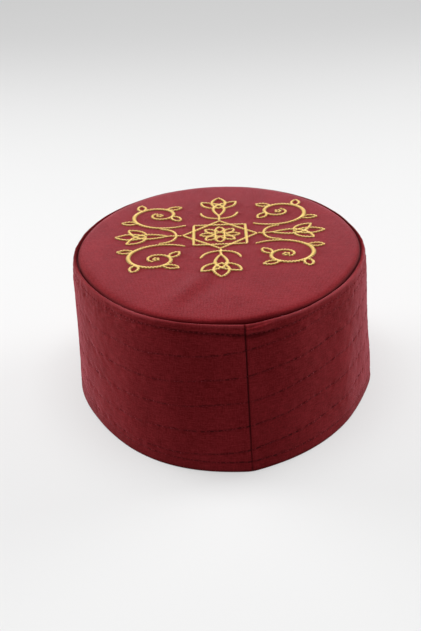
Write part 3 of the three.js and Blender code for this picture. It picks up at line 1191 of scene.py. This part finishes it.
gold_thread = bpy.data.materials.new("gold_rayon_thread")
gold_thread.use_nodes = True
gold_uv = add_node(gold_thread, "ShaderNodeUVMap", {"uv_map": "cloth"}, {}).outputs["UV"]
gold_space = add_node(
    gold_thread, "ShaderNodeMapping", {}, {"Vector": gold_uv, "Scale": (1 / (8 * FILAMENT), 9.0, 1.0)}
).outputs["Vector"]
filaments = add_node(
    gold_thread, "ShaderNodeTexNoise", {}, {"Vector": gold_space, "Scale": 1.0, "Detail": 2.0}
).outputs["Fac"]
gold_tone = add_node(
    gold_thread,
    "ShaderNodeMix",
    {"data_type": "RGBA"},
    {"Factor": filaments, 6: linear(GOLD_DEEP), 7: linear(GOLD)},
).outputs[2]
gold_shade_share = add_node(gold_thread, "ShaderNodeAttribute", {"attribute_name": "gold_shade_share"}, {}).outputs["Fac"]
gold_shaded = add_node(
    gold_thread, "ShaderNodeMix", {"data_type": "RGBA"}, {"Factor": gold_shade_share, 6: gold_tone, 7: linear(GOLD_SHADE)}
).outputs[2]
gold_bump = add_node(
    gold_thread, "ShaderNodeBump", {}, {"Height": filaments, "Strength": 0.3, "Distance": 0.00005}
).outputs["Normal"]
# the painted shade also takes the gloss away
gold_gloss = add_node(gold_thread, "ShaderNodeMath", {"operation": "SUBTRACT"}, {0: 1.0, 1: gold_shade_share}).outputs[0]
feed(gold_thread, gold_thread.node_tree.nodes["Principled BSDF"], {
    "Base Color": gold_shaded,
    "Normal": gold_bump,
    "Roughness": 0.32,
    "Specular IOR Level": gold_gloss,
    "Specular Tint": linear(GOLD_GLINT),
})

gold_taper = np.array([0.8, 1, 1, 1, 1, 0.8])
GOLD_LAYERS = (
    # end of the piece's name, how it is sewn, radius, and the share of painted shade on each ring of a stitch
    ("", zigzag, GOLD_RADIUS, (1, 0.3, 0, 0, 0.3, 1)),
    ("_underlay", underlay, UNDERLAY_RADIUS, (0.8, 0.8, 0.8, 0.8, 0.8, 0.8)),
)
for name, curves in {"gold_star": star(), "gold_tulips": tulips(), "gold_tendrils": tendrils()}.items():
    for layer, sewn, radius, ring_shade in GOLD_LAYERS:
        lengths = np.concatenate([sewn(curve) for curve in curves])
        upright = np.broadcast_to(np.array([0.0, 0.0, 1.0]), lengths.shape)
        points, faces, uv = thread_lengths(lengths, upright, radius * gold_taper)
        ring_shades = np.broadcast_to(np.array(ring_shade)[:, None], (*lengths.shape[:2], 6))
        embroidery = piece(name + layer, points, faces.tolist(), uv, gold_thread, {"gold_shade_share": ring_shades})


# Floor, light and camera
# A plain white sheet of paper on a light table, so that it glows a little, under a large softbox that hangs
# above the cap, with a low panel behind it on each side. The camera stands where the photo was taken from.

FLOOR_HALF = 6.0
FLOOR_GREY = "#8f8f8f"
WHITE = "#ffffff"
FLOOR_GLOW = 0.50
floor_mesh = bpy.data.meshes.new("floor")
floor_corners = FLOOR_HALF * np.array([(-1, -1, 0), (1, -1, 0), (1, 1, 0), (-1, 1, 0)])
floor_mesh.from_pydata(floor_corners.tolist(), [], [(0, 1, 2, 3)])
floor = bpy.data.objects.new("floor", floor_mesh)
bpy.context.scene.collection.objects.link(floor)
paper = bpy.data.materials.new("white_paper_sweep")
paper.use_nodes = True
feed(paper, paper.node_tree.nodes["Principled BSDF"], {
    "Base Color": linear(FLOOR_GREY),
    "Roughness": 0.9,
    "Emission Color": linear(WHITE),
    "Emission Strength": FLOOR_GLOW,
})
floor_mesh.materials.append(paper)

LIGHTS = (
    # name, place, aim, width and height, watts, spread in degrees
    ("softbox", (0.0, 0.0, 1.8), (0.0, 0.0, 0.0), (1.4, 1.1), 30, 180),
    ("left_panel", (-1.2, 0.70, 0.40), (0.0, 0.0, 0.05), (1.0, 0.7), 4.3, 60),
    ("right_panel", (1.2, 0.70, 0.40), (0.0, 0.0, 0.05), (1.0, 0.7), 3.7, 60),
)
for name, place, aim, size, watts, spread in LIGHTS:
    lamp = bpy.data.lights.new(name, "AREA")
    lamp.shape = "RECTANGLE"
    lamp.size, lamp.size_y = size
    lamp.energy = watts
    lamp.spread = np.radians(spread)
    lamp_object = bpy.data.objects.new(name, lamp)
    lamp_object.location = place
    lamp_object.rotation_euler = (Vector(aim) - Vector(place)).to_track_quat("-Z", "Y").to_euler()
    bpy.context.scene.collection.objects.link(lamp_object)

WORLD_STRENGTH = 0.06
world = bpy.data.worlds.new("studio")
world.use_nodes = True
feed(world, world.node_tree.nodes["Background"], {"Color": linear(WHITE), "Strength": WORLD_STRENGTH})
bpy.context.scene.world = world
bpy.context.scene.view_settings.view_transform = "Standard"

CAMERA_PLACE = Vector((-0.0015, -0.5555, 0.3083))
CAMERA_AIM = Vector((-0.0074, 0.0008, 0.0393))
CAMERA_ROLL = -2.68
FOCAL_PIXELS = 1068.7
IMAGE_HEIGHT = 631
SENSOR = 36.0
camera_data = bpy.data.cameras.new("camera")
camera_data.sensor_width = SENSOR
camera_data.lens = FOCAL_PIXELS * SENSOR / IMAGE_HEIGHT
camera_data.clip_start = 0.01
camera = bpy.data.objects.new("camera", camera_data)
look = (CAMERA_AIM - CAMERA_PLACE).to_track_quat("-Z", "Y").to_matrix()
camera.rotation_euler = (look @ Matrix.Rotation(np.radians(CAMERA_ROLL), 3, "Z")).to_euler()
camera.location = CAMERA_PLACE
bpy.context.scene.collection.objects.link(camera)
bpy.context.scene.camera = camera
